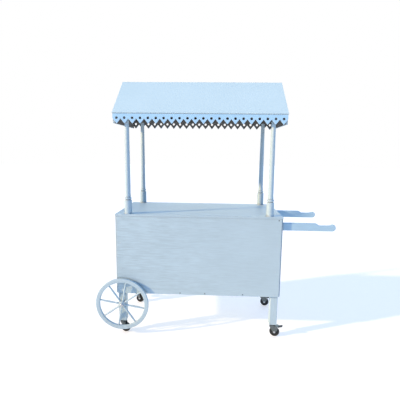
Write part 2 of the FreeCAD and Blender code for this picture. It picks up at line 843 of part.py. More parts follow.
def axle_bolt(row, across):
    """Dome-headed bolt through the hub and the leg; the wheel turns on its shank."""
    bolt = new_body(f"axle_bolt_{row}")
    section = new_sketch(bolt, "YZ_Plane")
    head = "hub_front + face_clearance"
    dome = f"{head} + bolt_head_edge"
    dome_middle = f"{dome} + bolt_dome_height - bolt_dome_radius"
    leg_inside = "hub_back + face_clearance + washer_thickness + leg_width"
    tail = f"{leg_inside} + washer_thickness + nut_height + bolt_tail"
    draw(
        section,
        (f"{across} * ({dome} + bolt_dome_height)", "0"),
        (
            f"{across} * ({dome_middle} + sqrt(bolt_dome_radius ^ 2 - bolt_head_radius ^ 2 / 4))",
            "bolt_head_radius / 2",
            f"{across} * ({dome})",
            "bolt_head_radius",
        ),
        (f"{across} * ({head})", "bolt_head_radius"),
        (f"{across} * ({head})", "bolt_radius"),
        (f"{-across} * ({tail})", "bolt_radius"),
        (f"{-across} * ({tail})", "0"),
    )
    revolve(bolt, section, "H_Axis")
    set_wheel_piece(bolt, across)


def ring(name, radius, bore, thickness, sides=None):
    """Round or six-sided plate with a hole, its hole along Y."""
    if sides is None:
        blank = doc.addObject("Part::Cylinder", f"{name}_blank")
        blank.setExpression("Radius", tie(radius))
    else:
        blank = doc.addObject("Part::Prism", f"{name}_blank")
        blank.Polygon = sides
        blank.setExpression("Circumradius", tie(radius))
    blank.setExpression("Height", tie(thickness))
    hole = doc.addObject("Part::Cylinder", f"{name}_hole")
    hole.setExpression("Radius", tie(bore))
    hole.setExpression("Height", tie(thickness))
    cut = doc.addObject("Part::Cut", name)
    cut.Base = blank
    cut.Tool = hole
    return cut


def axle_fasteners():
    """Washers each side of the leg and the nut behind it, for both wheels."""
    pieces = []
    bore = "bolt_radius + joint_clearance"
    nut_sides = 6
    leg_inside = "leg_face - leg_width"
    for row, across in ROWS:
        outer = ring(f"outer_washer_{row}", "washer_radius", bore, "washer_thickness")
        inner = ring(f"inner_washer_{row}", "washer_radius", bore, "washer_thickness")
        nut = ring(f"nut_{row}", "nut_radius", bore, "nut_height", nut_sides)
        outer_faces = (
            (outer, "leg_face + washer_thickness"),
            (inner, leg_inside),
            (nut, f"{leg_inside} - washer_thickness"),
        )
        for item, outer_face in outer_faces:
            item.Placement.Rotation = Rotation(Vector(1, 0, 0), 90 * across)
            place(item, "box_middle - wheel_line", f"{across} * ({outer_face})", "wheel_axle_height")
            pieces.append(item)
    group = keep(doc.addObject("Part::Compound", "axle_nuts_and_washers"), "axle_nuts_and_washers")
    group.Links = pieces


def set_caster_piece(piece, along, across, turn="0"):
    place(piece, f"box_middle + {along} * leg_line", f"{across} * leg_row", "0", turn)


def caster_plate(name, along, across):
    """Top plate with four screw holes, the upper race and the riveted king pin."""
    plate = new_body(f"caster_plate_{name}")
    outline = new_sketch(plate, "XY_Plane", ("0", "0", "caster_height - caster_plate_thickness"))
    half = "caster_plate_width / 2"
    draw_rounded(outline, (f"-{half}", f"-{half}"), (half, half), "caster_plate_corner_radius")
    for _, screw_x in ENDS:
        for _, screw_y in ROWS:
            centre = (f"{screw_x} * caster_screw_spacing / 2", f"{screw_y} * caster_screw_spacing / 2")
            draw_circle(outline, centre, "caster_screw_radius")
    pad(plate, outline, "caster_plate_thickness")
    race = new_sketch(plate, "XZ_Plane")
    plate_underside = "caster_height - caster_plate_thickness"
    race_top = ("caster_race_radius", plate_underside)
    race_bottom = ("caster_race_radius", "crown_top + face_clearance")
    rivet_top = "crown_underside - face_clearance"
    rivet_bottom = f"{rivet_top} - caster_rivet_height"
    draw(
        race,
        ("0", plate_underside),
        race_top,
        bowed(race_top, race_bottom, "-caster_race_bulge"),
        ("caster_pin_radius", race_bottom[1]),
        ("caster_pin_radius", rivet_top),
        ("caster_rivet_radius", rivet_top),
        ("caster_rivet_radius / 2", rivet_bottom),
        ("0", rivet_bottom),
    )
    revolve(plate, race, "V_Axis")
    set_caster_piece(plate, along, across)


def caster_fork(name, along, across, braked):
    """Pressed sheet fork: round crown, two cheeks that run back to the axle, eyes at the axle."""
    fork = new_body(f"caster_fork_{name}")
    axle = "caster_wheel_radius"
    side = new_sketch(fork, "XZ_Plane", ("0", "0", "-fork_outside_width / 2"))
    back_edge = "caster_trail + fork_eye_radius"
    brow = (
        ("fork_crown_radius", "crown_top"),
        ("fork_crown_radius + fork_sheet", f"{axle} + fork_brow_rise"),
    )
    if braked:
        brow = (
            ("brake_pin_along + brake_boss_radius", "crown_top"),
            ("brake_pin_along + brake_boss_radius", "brake_pin_height - brake_boss_radius"),
        )
    draw(
        side,
        ("-fork_crown_radius", "crown_top"),
        *brow,
        (back_edge, axle),
        ("caster_trail", f"{axle} - fork_eye_radius", "caster_trail - fork_eye_radius", axle),
        ("-fork_crown_radius", "crown_underside - fork_sheet"),
    )
    pad(fork, side, "fork_outside_width")
    inside = new_sketch(fork, "XZ_Plane", ("0", "0", "fork_inside_width / 2"))
    reach = "brake_pin_along + 2 * brake_boss_radius"
    draw_rectangle(inside, ("-2 * fork_crown_radius", "0"), (reach, "crown_underside"))
    pocket(fork, inside, "fork_inside_width")
    king_hole = new_sketch(fork, "XY_Plane", ("0", "0", "crown_top"))
    draw_circle(king_hole, ("0", "0"), "caster_pin_radius + running_clearance")
    pocket(fork, king_hole, "fork_sheet")
    pin_holes = new_sketch(fork, "XZ_Plane", ("0", "0", "fork_outside_width / 2"))
    draw_circle(pin_holes, ("caster_trail", axle), "caster_axle_radius + running_clearance")
    if braked:
        brake_hole = ("brake_pin_along", "brake_pin_height")
        draw_circle(pin_holes, brake_hole, "brake_pin_radius + running_clearance")
    pocket(fork, pin_holes, "fork_outside_width")
    set_caster_piece(fork, along, across, "caster_trail_angle")


def fork_pin(label, along, across, centre, radius, head_radius, head_height):
    """Pin across the fork with a riveted, bevelled head on each cheek."""
    pin = new_body(label)
    section = new_sketch(pin, "XY_Plane", (centre[0], "0", centre[1]))
    cheek = "fork_outside_width / 2"
    bevel = f"{head_height} / 2"
    draw(
        section,
        ("0", f"-{cheek} - {head_height}"),
        (f"{head_radius} - {bevel}", f"-{cheek} - {head_height}"),
        (head_radius, f"-{cheek} - {bevel}"),
        (head_radius, f"-{cheek}"),
        (radius, f"-{cheek}"),
        (radius, cheek),
        (head_radius, cheek),
        (head_radius, f"{cheek} + {bevel}"),
        (f"{head_radius} - {bevel}", f"{cheek} + {head_height}"),
        ("0", f"{cheek} + {head_height}"),
    )
    revolve(pin, section, "V_Axis")
    set_caster_piece(pin, along, across, "caster_trail_angle")


def caster_axle(name, along, across):
    fork_pin(
        f"caster_axle_{name}",
        along,
        across,
        ("caster_trail", "caster_wheel_radius"),
        "caster_axle_radius",
        "caster_axle_head_radius",
        "caster_axle_head_height",
    )


def brake_pin(name, along, across):
    fork_pin(
        f"brake_pin_{name}",
        along,
        across,
        ("brake_pin_along", "brake_pin_height"),
        "brake_pin_radius",
        "brake_pin_head_radius",
        "brake_pin_head_height",
    )


def caster_wheel(name, along, across):
    """Moulded wheel: crowned tread, dished web on both sides, hub wider than the tread."""
    wheel = new_body(f"caster_wheel_{name}")
    section = new_sketch(wheel, "XY_Plane", ("caster_trail", "0", "caster_wheel_radius"))
    bore = "caster_axle_radius + running_clearance"
    tread = "caster_wheel_width / 2"
    web = "caster_web_width / 2"
    hub = "fork_room / 2"
    shoulder = "caster_wheel_radius - caster_tread_crown"
    hub_edge = "caster_hub_radius - caster_mould_draft"
    web_edge = "caster_web_radius + caster_mould_draft"
    draw(
        section,
        (bore, f"-{hub}"),
        (hub_edge, f"-{hub}"),
        ("caster_hub_radius", f"-{web}"),
        ("caster_web_radius", f"-{web}"),
        (web_edge, f"-{tread}"),
        (shoulder, f"-{tread}"),
        ("caster_wheel_radius", "0", shoulder, tread),
        (web_edge, tread),
        ("caster_web_radius", web),
        ("caster_hub_radius", web),
        (hub_edge, hub),
        (bore, hub),
    )
    revolve(wheel, section, "V_Axis")
    set_caster_piece(wheel, along, across, "caster_trail_angle")


def brake_pedal(name, along, across):
    """Foot pedal on a pin across the fork's brow; pressing it brings its shoe down on the tread."""
    pedal = new_body(f"brake_pedal_{name}")
    half = "fork_room / 2"
    section = new_sketch(pedal, "XZ_Plane", ("brake_pin_along", "brake_pin_height", f"-{half}"))
    tip = "brake_boss_radius + brake_pedal_length"
    draw(
        section,
        ("0", "brake_boss_radius"),
        ("-brake_boss_radius * sqrt(0.5)", "brake_boss_radius * sqrt(0.5)", "-brake_boss_radius", "0"),
        ("-brake_shoe_width / 2", "-brake_shoe_radius"),
        ("brake_shoe_width / 2", "-brake_shoe_radius"),
        ("brake_boss_radius", "brake_boss_radius - brake_pedal_root"),
        (tip, "brake_pedal_lift"),
        (tip, "brake_pedal_lift + brake_pedal_thickness"),
        ("brake_boss_radius", "brake_boss_radius"),
    )
    pad(pedal, section, "fork_room")
    bore = new_sketch(pedal, "XZ_Plane", ("brake_pin_along", "brake_pin_height", half))
    draw_circle(bore, ("0", "0"), "brake_pin_radius + running_clearance")
    pocket(pedal, bore, "fork_room")
    set_caster_piece(pedal, along, across, "caster_trail_angle")


for row, across in ROWS:
    for end, along in ENDS:
        corner_leg(end, along, row, across)
        turned_post(end, along, row, across)
        caster = f"{row}_{end}"
        caster_plate(caster, along, across)
        caster_fork(caster, along, across, end == "right")
        caster_axle(caster, along, across)
        caster_wheel(caster, along, across)
        if end == "right":
            brake_pin(caster, along, across)
            brake_pedal(caster, along, across)
    roof_slope(row, across)
    valance(row, across)
    push_handle(row, across)
    wheel_rim(row, across)
    wheel_spokes(row, across)
    wheel_hub(row, across)
    axle_bolt(row, across)
for end, along in ENDS:
    side_panel(end, along)
    gable_end(end, along)
front_panel()
counter_top()
box_rails()
notched_board("floor_board", "floor_thickness", "floor_height")
notched_board("storage_shelf", "shelf_thickness", "shelf_height - shelf_thickness")
shelf_cleats()
roof_frame()
axle_fasteners()

doc.recompute()
for item in doc.Objects:
    if "Invalid" in item.State or "Error" in item.State:
        raise RuntimeError(f"{item.Label} did not rebuild: {item.State}")
for label, item in parts.items():
    if item.Shape.isNull() or not item.Shape.isValid():
        raise RuntimeError(f"{label} has no valid shape")

os.makedirs("parts", exist_ok=True)
for label, item in parts.items():
    item.Shape.exportStep(f"parts/{label}.step")
print(f"{len(parts)} sub-parts written")
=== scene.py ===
# %% [markdown]
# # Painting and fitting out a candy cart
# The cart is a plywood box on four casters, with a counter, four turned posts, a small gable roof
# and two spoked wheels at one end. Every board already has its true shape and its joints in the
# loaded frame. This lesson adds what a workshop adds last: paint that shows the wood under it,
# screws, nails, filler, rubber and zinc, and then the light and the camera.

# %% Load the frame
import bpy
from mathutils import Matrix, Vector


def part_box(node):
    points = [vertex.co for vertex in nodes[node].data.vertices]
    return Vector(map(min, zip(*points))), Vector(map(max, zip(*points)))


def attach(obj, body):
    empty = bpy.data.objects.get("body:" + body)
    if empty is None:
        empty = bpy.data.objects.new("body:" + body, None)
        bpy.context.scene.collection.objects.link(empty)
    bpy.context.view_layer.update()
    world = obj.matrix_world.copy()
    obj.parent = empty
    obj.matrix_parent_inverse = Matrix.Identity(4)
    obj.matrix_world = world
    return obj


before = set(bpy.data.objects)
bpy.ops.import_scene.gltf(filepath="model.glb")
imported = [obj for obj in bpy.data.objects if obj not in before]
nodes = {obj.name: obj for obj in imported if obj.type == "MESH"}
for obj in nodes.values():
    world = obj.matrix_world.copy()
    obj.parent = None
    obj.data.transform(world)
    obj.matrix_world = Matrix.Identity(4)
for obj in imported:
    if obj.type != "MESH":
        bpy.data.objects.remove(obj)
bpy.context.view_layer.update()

import math

import bmesh
import bpy
from mathutils import Matrix, Vector

X, Y, Z = range(3)


def corners_of(node):
    """The lowest and the highest corner of a piece of the frame."""
    return tuple(map(Vector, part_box(node)))


def middle_of(node):
    low, high = corners_of(node)
    return (low + high) / 2


def face_of(node, axis, side):
    """Where the face of a piece lies along an axis, on its low side (-1) or its high side (1)."""
    low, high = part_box(node)
    return (low if side < 0 else high)[axis]


# %% [markdown]
# ## Writing shader sums as ordinary sums
# A paint is mostly arithmetic: a little brush mark plus a little cloud, less the worn edges. Node
# by node that is hard to read, so a `Wire` stands for one socket that carries a number, and each
# operator on it adds a Math node. Numbers that need no texture stay in Python.

# %% A wire that can be added and multiplied
def feed(entry, item):
    """Links a wire to an input socket, or sets a plain value on it."""
    if isinstance(item, Wire):
        entry.id_data.links.new(item.socket, entry)
    else:
        entry.default_value = item


class Wire:
    """One output socket. Sums on it become Math nodes in the same node tree."""

    def __init__(self, socket):
        self.socket = socket

    def sum(self, operation, first, second=0.0):
        node = self.socket.id_data.nodes.new("ShaderNodeMath")
        node.operation = operation
        for entry, item in zip(node.inputs, (first, second)):
            feed(entry, item)
        return Wire(node.outputs[0])

    def __add__(self, other):
        return self.sum("ADD", self, other)

    def __sub__(self, other):
        return self.sum("SUBTRACT", self, other)

    def __rsub__(self, other):
        return self.sum("SUBTRACT", other, self)

    def __mul__(self, other):
        return self.sum("MULTIPLY", self, other)

    def __abs__(self):
        return self.sum("ABSOLUTE", self)

    __radd__ = __add__
    __rmul__ = __mul__

    def waves(self, length):
        """Goes from -1 to 1 and back once in each length."""
        return self.sum("SINE", self * (math.tau / length))

    def kept_between_0_and_1(self):
        return self.sum("MINIMUM", self.sum("MAXIMUM", self, 0.0), 1.0)


print("sums with a name of their own:", [name for name in vars(Wire) if not name.startswith("__")])

# %% [markdown]
# ## One place where nodes are made
# A `Palette` fills one node tree. Its `node` method adds any node: the settings first, then a value
# or a wire for each socket. Colours go through `blend` and vectors through `vector`, because a Math
# node would turn a colour grey.

# %% The palette
class Palette:
    """A node tree that is being filled."""

    def __init__(self, tree):
        self.tree = tree

    def node(self, kind, settings=None, sockets=None, out=0):
        made = self.tree.nodes.new("ShaderNode" + kind)
        for key, setting in (settings or {}).items():
            setattr(made, key, setting)
        for key, item in (sockets or {}).items():
            feed(made.inputs[key], item)
        return Wire(made.outputs[out])

    def blend(self, share, first, second):
        """A colour that goes from the first to the second as the share goes from 0 to 1."""
        return self.node("Mix", {"data_type": "RGBA"}, {0: share, 6: first, 7: second}, out=2)

    def vector(self, operation, first, second=(0.0, 0.0, 0.0), out=0):
        return self.node("VectorMath", {"operation": operation}, {0: first, 1: second}, out)

    def dot(self, first, second):
        return self.vector("DOT_PRODUCT", first, second, out=1)

    def part(self, vector, axis):
        return self.node("SeparateXYZ", sockets={0: vector}, out=axis)


print("a palette can:", [name for name in vars(Palette) if not name.startswith("__")])

# %% [markdown]
# A `Finish` is a palette whose tree is a material, with the few mixtures that all of the finishes
# share. It could measure places in the room, but then a pattern would slide over a wheel that turns.
# Object coordinates are used throughout, so the pattern turns with it.

# %% The finish that is mixed on a palette
class Finish(Palette):
    """A material whose last wires go into its Principled shader."""

    def __init__(self, name):
        self.material = bpy.data.materials.new(name)
        self.material.use_nodes = True
        super().__init__(self.material.node_tree)
        self.shader = self.tree.nodes["Principled BSDF"]
        self.place = self.node("TexCoord", out="Object")
        self.facing = self.node("TexCoord", out="Normal")
        self.wood = self.place

    def surface(self, sockets):
        for key, item in sockets.items():
            feed(self.shader.inputs[key], item)
        return self.material

    def speckle(self, scale, detail=3.0, where=None):
        """Noise around 0.5, with about as many speckles to the metre as the scale says."""
        sockets = {"Vector": where or self.place, "Scale": scale, "Detail": detail}
        return self.node("TexNoise", sockets=sockets)

    def drawn_out(self, grain, share):
        """The wood's place, shortened along the grain so that a speckle on it becomes a streak."""
        return self.vector("MULTIPLY", self.wood, [share if axis in grain else 1.0 for axis in "XYZ"])

    def turned_to(self, direction, least, steepness=20.0):
        """1 on faces that look along the direction, and 0 where they turn away from it."""
        return ((self.dot(self.facing, direction) - least) * steepness).kept_between_0_and_1()

    def rounded(self, radius):
        return self.node("Bevel", {"samples": 4}, {"Radius": radius})

    def edges(self, radius, strength=3.4):
        """Near 1 along outer and inner edges and 0 on the flat."""
        true = self.node("NewGeometry", out="Normal")
        return ((1.0 - self.dot(self.rounded(radius), true)) * strength).kept_between_0_and_1()

    def crevices(self, reach):
        """Near 1 where other wood is closer than the reach, as in a corner."""
        return 1.0 - self.node("AmbientOcclusion", {"samples": 6}, {"Distance": reach}, out="AO")

    def relief(self, height, depth, softness):
        """Normals for a bump of some depth in metres, on edges rounded to the softness."""
        sockets = {"Height": height, "Distance": depth, "Normal": self.rounded(softness)}
        return self.node("Bump", sockets=sockets)


print("a finish also can:", [name for name in vars(Finish) if not name.startswith("__")])

# %% [markdown]
# ## Pale blue paint over wood
# The cart was brushed with a pale blue satin paint. Under it the grain of the boards still shows
# as fine wavy streaks and ridges, the brush has left finer ones, and the coat is uneven over a
# hand's width. One noise can't give all of these, so four are laid over each other, three of them
# drawn out along the grain. `figure` says how strongly the wood shows through.

# %% A coat of paint, with the wood's figure and the brush in it
BODY_DEEP = (0.396, 0.504, 0.550, 1.0)
BODY_PALE = (0.474, 0.604, 0.660, 1.0)


def coat_of_paint(finish, grain, deep, pale, figure):
    """The paint's colour and the height of its grain and brush marks."""
    streaks = finish.speckle(125.0, 4.0, finish.drawn_out(grain, 0.11))
    fibres = finish.speckle(240.0, 5.0, finish.drawn_out(grain, 0.03))
    brush = finish.speckle(620.0, 2.0, finish.drawn_out(grain, 0.012))
    cloud = finish.speckle(3.2, 3.0)
    # Each noise keeps around 0.5, so half of the three shares is taken off to keep the mean colour.
    wood = streaks * 1.5 + fibres * 0.5 + brush * 0.3 - 1.15
    tone = (cloud * 0.9 + wood * figure + 0.05).kept_between_0_and_1()
    return finish.blend(tone, deep, pale), fibres * 0.7 + brush * 0.3


print("paint between", BODY_DEEP[:3], "and", BODY_PALE[:3])

# %% [markdown]
# On edges the coat is thin and rubbed, so the chalky primer comes through, and the paler edge is
# partly a painted highlight. The corners are darkened as painted shade with some dust in it, and near
# the floor the coat holds dust. A Bevel node finds the edges, because it bends the normal only there,
# and an Ambient Occlusion node finds the corners; a noise then breaks up the wear, which is never even.

# %% Rubbed edges with a painted highlight, and corners with dust and painted shade
# The primer colour lightens the rubbed edges: wear, and a painted highlight.
PRIMER_AND_HIGHLIGHT = (0.780, 0.820, 0.830, 1.0)
# The dust colour darkens the corners, as dust and painted shade, and the low parts, as dust.
DUST_AND_SHADE = (0.215, 0.225, 0.225, 1.0)
RUB_AND_HIGHLIGHT_WIDTH = 0.004
SHADE_AND_DUST_REACH = 0.018
SPLASH_TOP = 0.24


def rub_soil_and_paint_light(finish, colour):
    """Rubs the edges through to a paler primer, partly a painted highlight, darkens the corners as
    painted shade with dust, and leaves dust near the floor.
    """
    patches = finish.speckle(38.0, 4.0)
    # Rubbed edges turn towards the primer: wear, and a painted edge highlight.
    rubbed_and_highlit = (finish.edges(RUB_AND_HIGHLIGHT_WIDTH) * 1.3 + patches - 0.8).kept_between_0_and_1()
    colour = finish.blend(rubbed_and_highlit * 0.6, colour, PRIMER_AND_HIGHLIGHT)
    low = (1.0 - finish.part(finish.place, "Z") * (1.0 / SPLASH_TOP)).kept_between_0_and_1()
    # Ambient occlusion darkens the corners: painted shade, with some dust in it.
    dust_and_shade = finish.crevices(SHADE_AND_DUST_REACH) * 1.1 + low * patches * patches * 0.8
    return finish.blend(dust_and_shade.kept_between_0_and_1(), colour, DUST_AND_SHADE), rubbed_and_highlit


print("splashes reach", SPLASH_TOP, "m up the legs")

# %% [markdown]
# Plywood shows its glued layers along a sawn edge, even under paint. A picture of them would have to
# be laid out on every edge. A sine along the line through the sheet needs no layout and keeps its
# true scale, so it is used here, on the faces that look sideways out of the sheet.

# %% Layers along the edges of a sheet
PLY_PAIR = 0.0048
END_GRAIN = (0.300, 0.375, 0.430, 1.0)


def ply_edges(finish, through, colour, marks):
    """Adds the layers of ply to a colour and its marks. The vector goes through the sheet."""
    on_edge = (1.0 - abs(finish.dot(finish.facing, through)) * 1.6).kept_between_0_and_1()
    layers = (finish.dot(finish.place, through).waves(PLY_PAIR) * 0.5 + 0.5) * on_edge
    return finish.blend(layers * 0.3, colour, END_GRAIN), marks + layers * 0.6


print("each layer of ply is", PLY_PAIR / 2 * 1000, "mm thick")

# %% [markdown]
# Nobody paints what only a child would see: the underside of the roof sheets, the backs of the
# fretted boards and the rails up there are bare, and have gone grey. Their grey is kept darker than
# the wood's own, as painted shade under the roof. A sheet that is painted on one side only could
# have a second material on the faces of its back. Its finish looks at which way each face is turned
# instead, so no face has to be picked.

# %% Bare wood, darkened as painted shade
# Both greys are darker than the weathered wood itself: painted shade under the roof.
SHADED_BARE_DARK = (0.085, 0.082, 0.074, 1.0)
SHADED_BARE_LIGHT = (0.175, 0.165, 0.148, 1.0)


def shaded_bare_colour(finish, grain):
    rings = finish.speckle(60.0, 4.0, finish.drawn_out(grain, 0.05))
    fibres = finish.speckle(420.0, 3.0, finish.drawn_out(grain, 0.02))
    tone = (rings * 1.5 + fibres * 0.8 - 0.65).kept_between_0_and_1()
    return finish.blend(tone, SHADED_BARE_DARK, SHADED_BARE_LIGHT), rings * 0.5 + fibres * 0.5


def shaded_bare_timber(name, grain):
    finish = Finish(name)
    colour, marks = shaded_bare_colour(finish, grain)
    return finish.surface({
        "Base Color": colour,
        "Roughness": 0.7 + marks * 0.2,
        "Normal": finish.relief(marks, depth=0.0008, softness=0.001),
    })


shaded_roof_timber = shaded_bare_timber("shaded_roof_timber", "X")
print("bare wood:", shaded_roof_timber.name)

# %% [markdown]
# ## One recipe, many boards
# The grain follows the length of each board, so each direction is a material of its own, mixed by
# one recipe. A sheet names the line through it, and a one-sided sheet the way its bare face looks.
# A finish may also be given its own measure of place, and its own way of showing the wood.

# %% Mix a paint
BODY_COLOURS = (BODY_DEEP, BODY_PALE)


def painted(name, grain, colours=BODY_COLOURS, through=None, inward=None, figure=1.0, place=None):
    finish = Finish(name)
    if place:
        finish.wood = place(finish)
    shown = figure(finish) if callable(figure) else figure
    colour, marks = coat_of_paint(finish, grain, *colours, shown)
    if through:
        colour, marks = ply_edges(finish, through, colour, marks)
    colour, rubbed_and_highlit = rub_soil_and_paint_light(finish, colour)
    roughness = 0.40 + marks * 0.16 + rubbed_and_highlit * 0.2
    if inward:
        # Faces that look inward take the bare wood, darkened as painted shade.
        bare_shaded_side = finish.turned_to(inward, least=0.7)
        colour = finish.blend(bare_shaded_side, colour, shaded_bare_colour(finish, grain)[0])
        roughness = roughness + bare_shaded_side * 0.25
    return finish.surface({
        "Base Color": colour,
        "Roughness": roughness,
        "Normal": finish.relief(marks, depth=0.0006, softness=0.0015),
    })


THROUGH_X, THROUGH_Y, THROUGH_Z = (1.0, 0.0, 0.0), (0.0, 1.0, 0.0), (0.0, 0.0, 1.0)
end_panel_paint = painted("end_panel_paint", "Y", through=THROUGH_X)
board_paint = painted("board_paint", "X", through=THROUGH_Z)
rail_paint = painted("rail_paint", "X")
cleat_paint = painted("cleat_paint", "Y")
leg_paint = painted("leg_paint", "Z")
post_paint = painted("post_paint", "XY", figure=0.6)
print("paints so far:", [material.name for material in bpy.data.materials if "paint" in material.name])

# %% [markdown]
# Two pieces need more than a straight grain. On the front panel the coat is thin at the left end,
# where the wood shows clearly, and covers it towards the handles, so the figure fades along the
# panel. On the wheels the lathe's marks run round the hub and along each felloe, so their place is
# taken as the distance from the axle.

# %% Paints of the front panel and the wheels
FIGURE_AT_MIDDLE = 1.0
FIGURE_LOST_IN_A_METRE = 1.4
axle = middle_of("wheel_rim_front")


def fading_figure(finish):
    return FIGURE_AT_MIDDLE - finish.part(finish.place, "X") * FIGURE_LOST_IN_A_METRE


def round_the_axle(finish):
    """A place as its distance from the wheels' axle and its depth."""
    arm = finish.vector("SUBTRACT", finish.place, axle)
    out = finish.vector("LENGTH", finish.vector("MULTIPLY", arm, (1.0, 0.0, 1.0)), out=1)
    return finish.node("CombineXYZ", sockets={0: out, 1: finish.part(finish.place, "Y")})


panel_paint = painted("panel_paint", "X", through=THROUGH_Y, figure=fading_figure)
wheel_paint = painted("wheel_paint", "", figure=0.7, place=round_the_axle)
print("wheel marks run round", [round(part, 3) for part in axle])

# %% [markdown]
# The roof was done last with a paler mix, the fretted boards with a bluer one, and the handles with
# one in between. Roof sheets slope, so the line through each is square to its own slope, which the
# frame's corners give.

# %% Paints of the roof, the fretted boards and the handles
ROOF_COLOURS = ((0.532, 0.685, 0.708, 1.0), (0.610, 0.765, 0.788, 1.0))
FRET_COLOURS = ((0.355, 0.600, 0.815, 1.0), (0.425, 0.680, 0.895, 1.0))
HANDLE_COLOURS = ((0.335, 0.492, 0.602, 1.0), (0.402, 0.592, 0.722, 1.0))
ROWS = {"front": -1, "back": 1}
ENDS = {"left": -1, "right": 1}
ROOF_SHEET = 0.008
roof_low, roof_high = corners_of("roof_slope_front")
roof_run, roof_height = -roof_low.y, roof_high.z - roof_low.z
roof_rise = roof_height - ROOF_SHEET * roof_run / math.hypot(roof_run, roof_height)
roof_out = {row: Vector((0, side * roof_rise, roof_run)).normalized() for row, side in ROWS.items()}

handle_paint = painted("handle_paint", "X", HANDLE_COLOURS)
roof_paints, fret_paints, gable_paints = {}, {}, {}
for row, side in ROWS.items():
    roof_paints[row] = painted("roof_paint_" + row, "X", ROOF_COLOURS, through=roof_out[row],
                               inward=(0.0, 0.0, -1.0), figure=0.2)
    fret_paints[row] = painted("fret_paint_" + row, "X", FRET_COLOURS, through=THROUGH_Y,
                               inward=(0.0, -side, 0.0), figure=0.5)
for end, side in ENDS.items():
    gable_paints[end] = painted("gable_paint_" + end, "Y", through=THROUGH_X, inward=(-side, 0.0, 0.0))
print("roof pitch", round(math.degrees(math.atan2(roof_rise, roof_run)), 1), "degrees")

# %% [markdown]
# ## Zinc, bolt steel, rubber and plastic
# The casters are bought ones. Their pressed plates and forks are zinc plated, which grows patchy
# grey crystals and a little brown in the folds. Bolts are turned bright. The tyres are black rubber
# that picks up pale floor dust, and the brake pedals are black moulded plastic rubbed by shoes. A
# noise would blur the crystals together, so a Voronoi texture gives each of them its own flat grey.

# %% Metals, rubber and plastic of the running gear
RUST = (0.170, 0.085, 0.045, 1.0)


def plated(name, dark, light, shine):
    finish = Finish(name)
    crystals = finish.node("TexVoronoi", sockets={"Vector": finish.place, "Scale": 190.0}, out="Color")
    patch = finish.dot(crystals, (0.33, 0.33, 0.33))
    stain = finish.speckle(70.0, 5.0)
    rust = ((stain + finish.crevices(0.006) * 0.5 - 0.72) * 3.0).kept_between_0_and_1()
    colour = finish.blend((patch * 0.7 + stain * 0.3).kept_between_0_and_1(), dark, light)
    return finish.surface({
        "Base Color": finish.blend(rust * 0.7, colour, RUST),
        "Metallic": 1.0 - rust * 0.8,
        "Roughness": shine + stain * 0.2 + rust * 0.3,
        "Normal": finish.relief(stain, depth=0.0003, softness=0.0006),
    })


def moulded(name, base, worn_colour, roughness):
    finish = Finish(name)
    dust = (finish.speckle(55.0, 5.0) * 1.6 - 0.6).kept_between_0_and_1()
    scuffs = finish.speckle(900.0, 2.0)
    worn = (finish.edges(0.002) * 0.6 + dust * 0.3).kept_between_0_and_1()
    return finish.surface({
        "Base Color": finish.blend(worn, base, worn_colour),
        "Roughness": roughness + dust * 0.2 + scuffs * 0.1,
        "Normal": finish.relief(scuffs, depth=0.0001, softness=0.0008),
    })


zinc = plated("zinc", (0.090, 0.105, 0.105, 1.0), (0.210, 0.230, 0.230, 1.0), 0.28)
bolt_steel = plated("bolt_steel", (0.500, 0.500, 0.500, 1.0), (0.640, 0.640, 0.630, 1.0), 0.2)
old_screw = plated("old_screw", (0.035, 0.035, 0.035, 1.0), (0.090, 0.088, 0.085, 1.0), 0.45)
tyre_rubber = moulded("tyre_rubber", (0.012, 0.012, 0.013, 1.0), (0.085, 0.083, 0.080, 1.0), 0.55)
pedal_plastic = moulded("pedal_plastic", (0.014, 0.014, 0.016, 1.0), (0.090, 0.090, 0.092, 1.0), 0.32)
print("running gear finishes:", zinc.name, bolt_steel.name, tyre_rubber.name, pedal_plastic.name)

# %% [markdown]
# ## A finish for each piece
# The frame's pieces come in plain colours, which the finishes now replace. A line for every piece
# would hide which of them share a paint. Their names begin with the kind of piece, so a short table
# of beginnings is enough.

# %% Put the finishes on the frame
FINISH_OF = {
    "front_panel": panel_paint,
    "side_panel": end_panel_paint,
    "counter_top": rail_paint,
    "corner_leg": leg_paint,
    "post_": post_paint,
    "handle_": handle_paint,
    "counter_rail": rail_paint,
    "floor_rail": rail_paint,
    "floor_board": board_paint,
    "storage_shelf": board_paint,
    "shelf_cleat": cleat_paint,
    "roof_slope_front": roof_paints["front"],
    "roof_slope_back": roof_paints["back"],
    "eave_rail": shaded_roof_timber,
    "ridge_beam": shaded_roof_timber,
    "valance_front": fret_paints["front"],
    "valance_back": fret_paints["back"],
    "gable_end_left": gable_paints["left"],
    "gable_end_right": gable_paints["right"],
    "wheel_": wheel_paint,
    "axle_": bolt_steel,
    "caster_plate": zinc,
    "caster_fork": zinc,
    "caster_axle": bolt_steel,
    "brake_pin": bolt_steel,
    "caster_wheel": tyre_rubber,
    "brake_pedal": pedal_plastic,
}
for name, item in nodes.items():
    item.data.materials.clear()
    item.data.materials.append(next(FINISH_OF[start] for start in FINISH_OF if name.startswith(start)))
print("finished", len(nodes), "pieces of the frame")

# %% [markdown]
# ## Small pieces from rings of points
# Screw heads, filler beads and moulded ribs are all skins over a row of outlines. `skin` joins
# outlines of equal counts with quads and closes both ends, or runs round to the first outline for
# a ring. `fit` then makes the object and lets it ride on a body. Faces that meet at less than the
# crease angle are shaded as one. The steps that put any object into the scene are kept apart, since
# the floor, the lights and the camera need them too.

# %% Skin a row of outlines, and fit the result to the cart
CREASE_DEGREES = 35


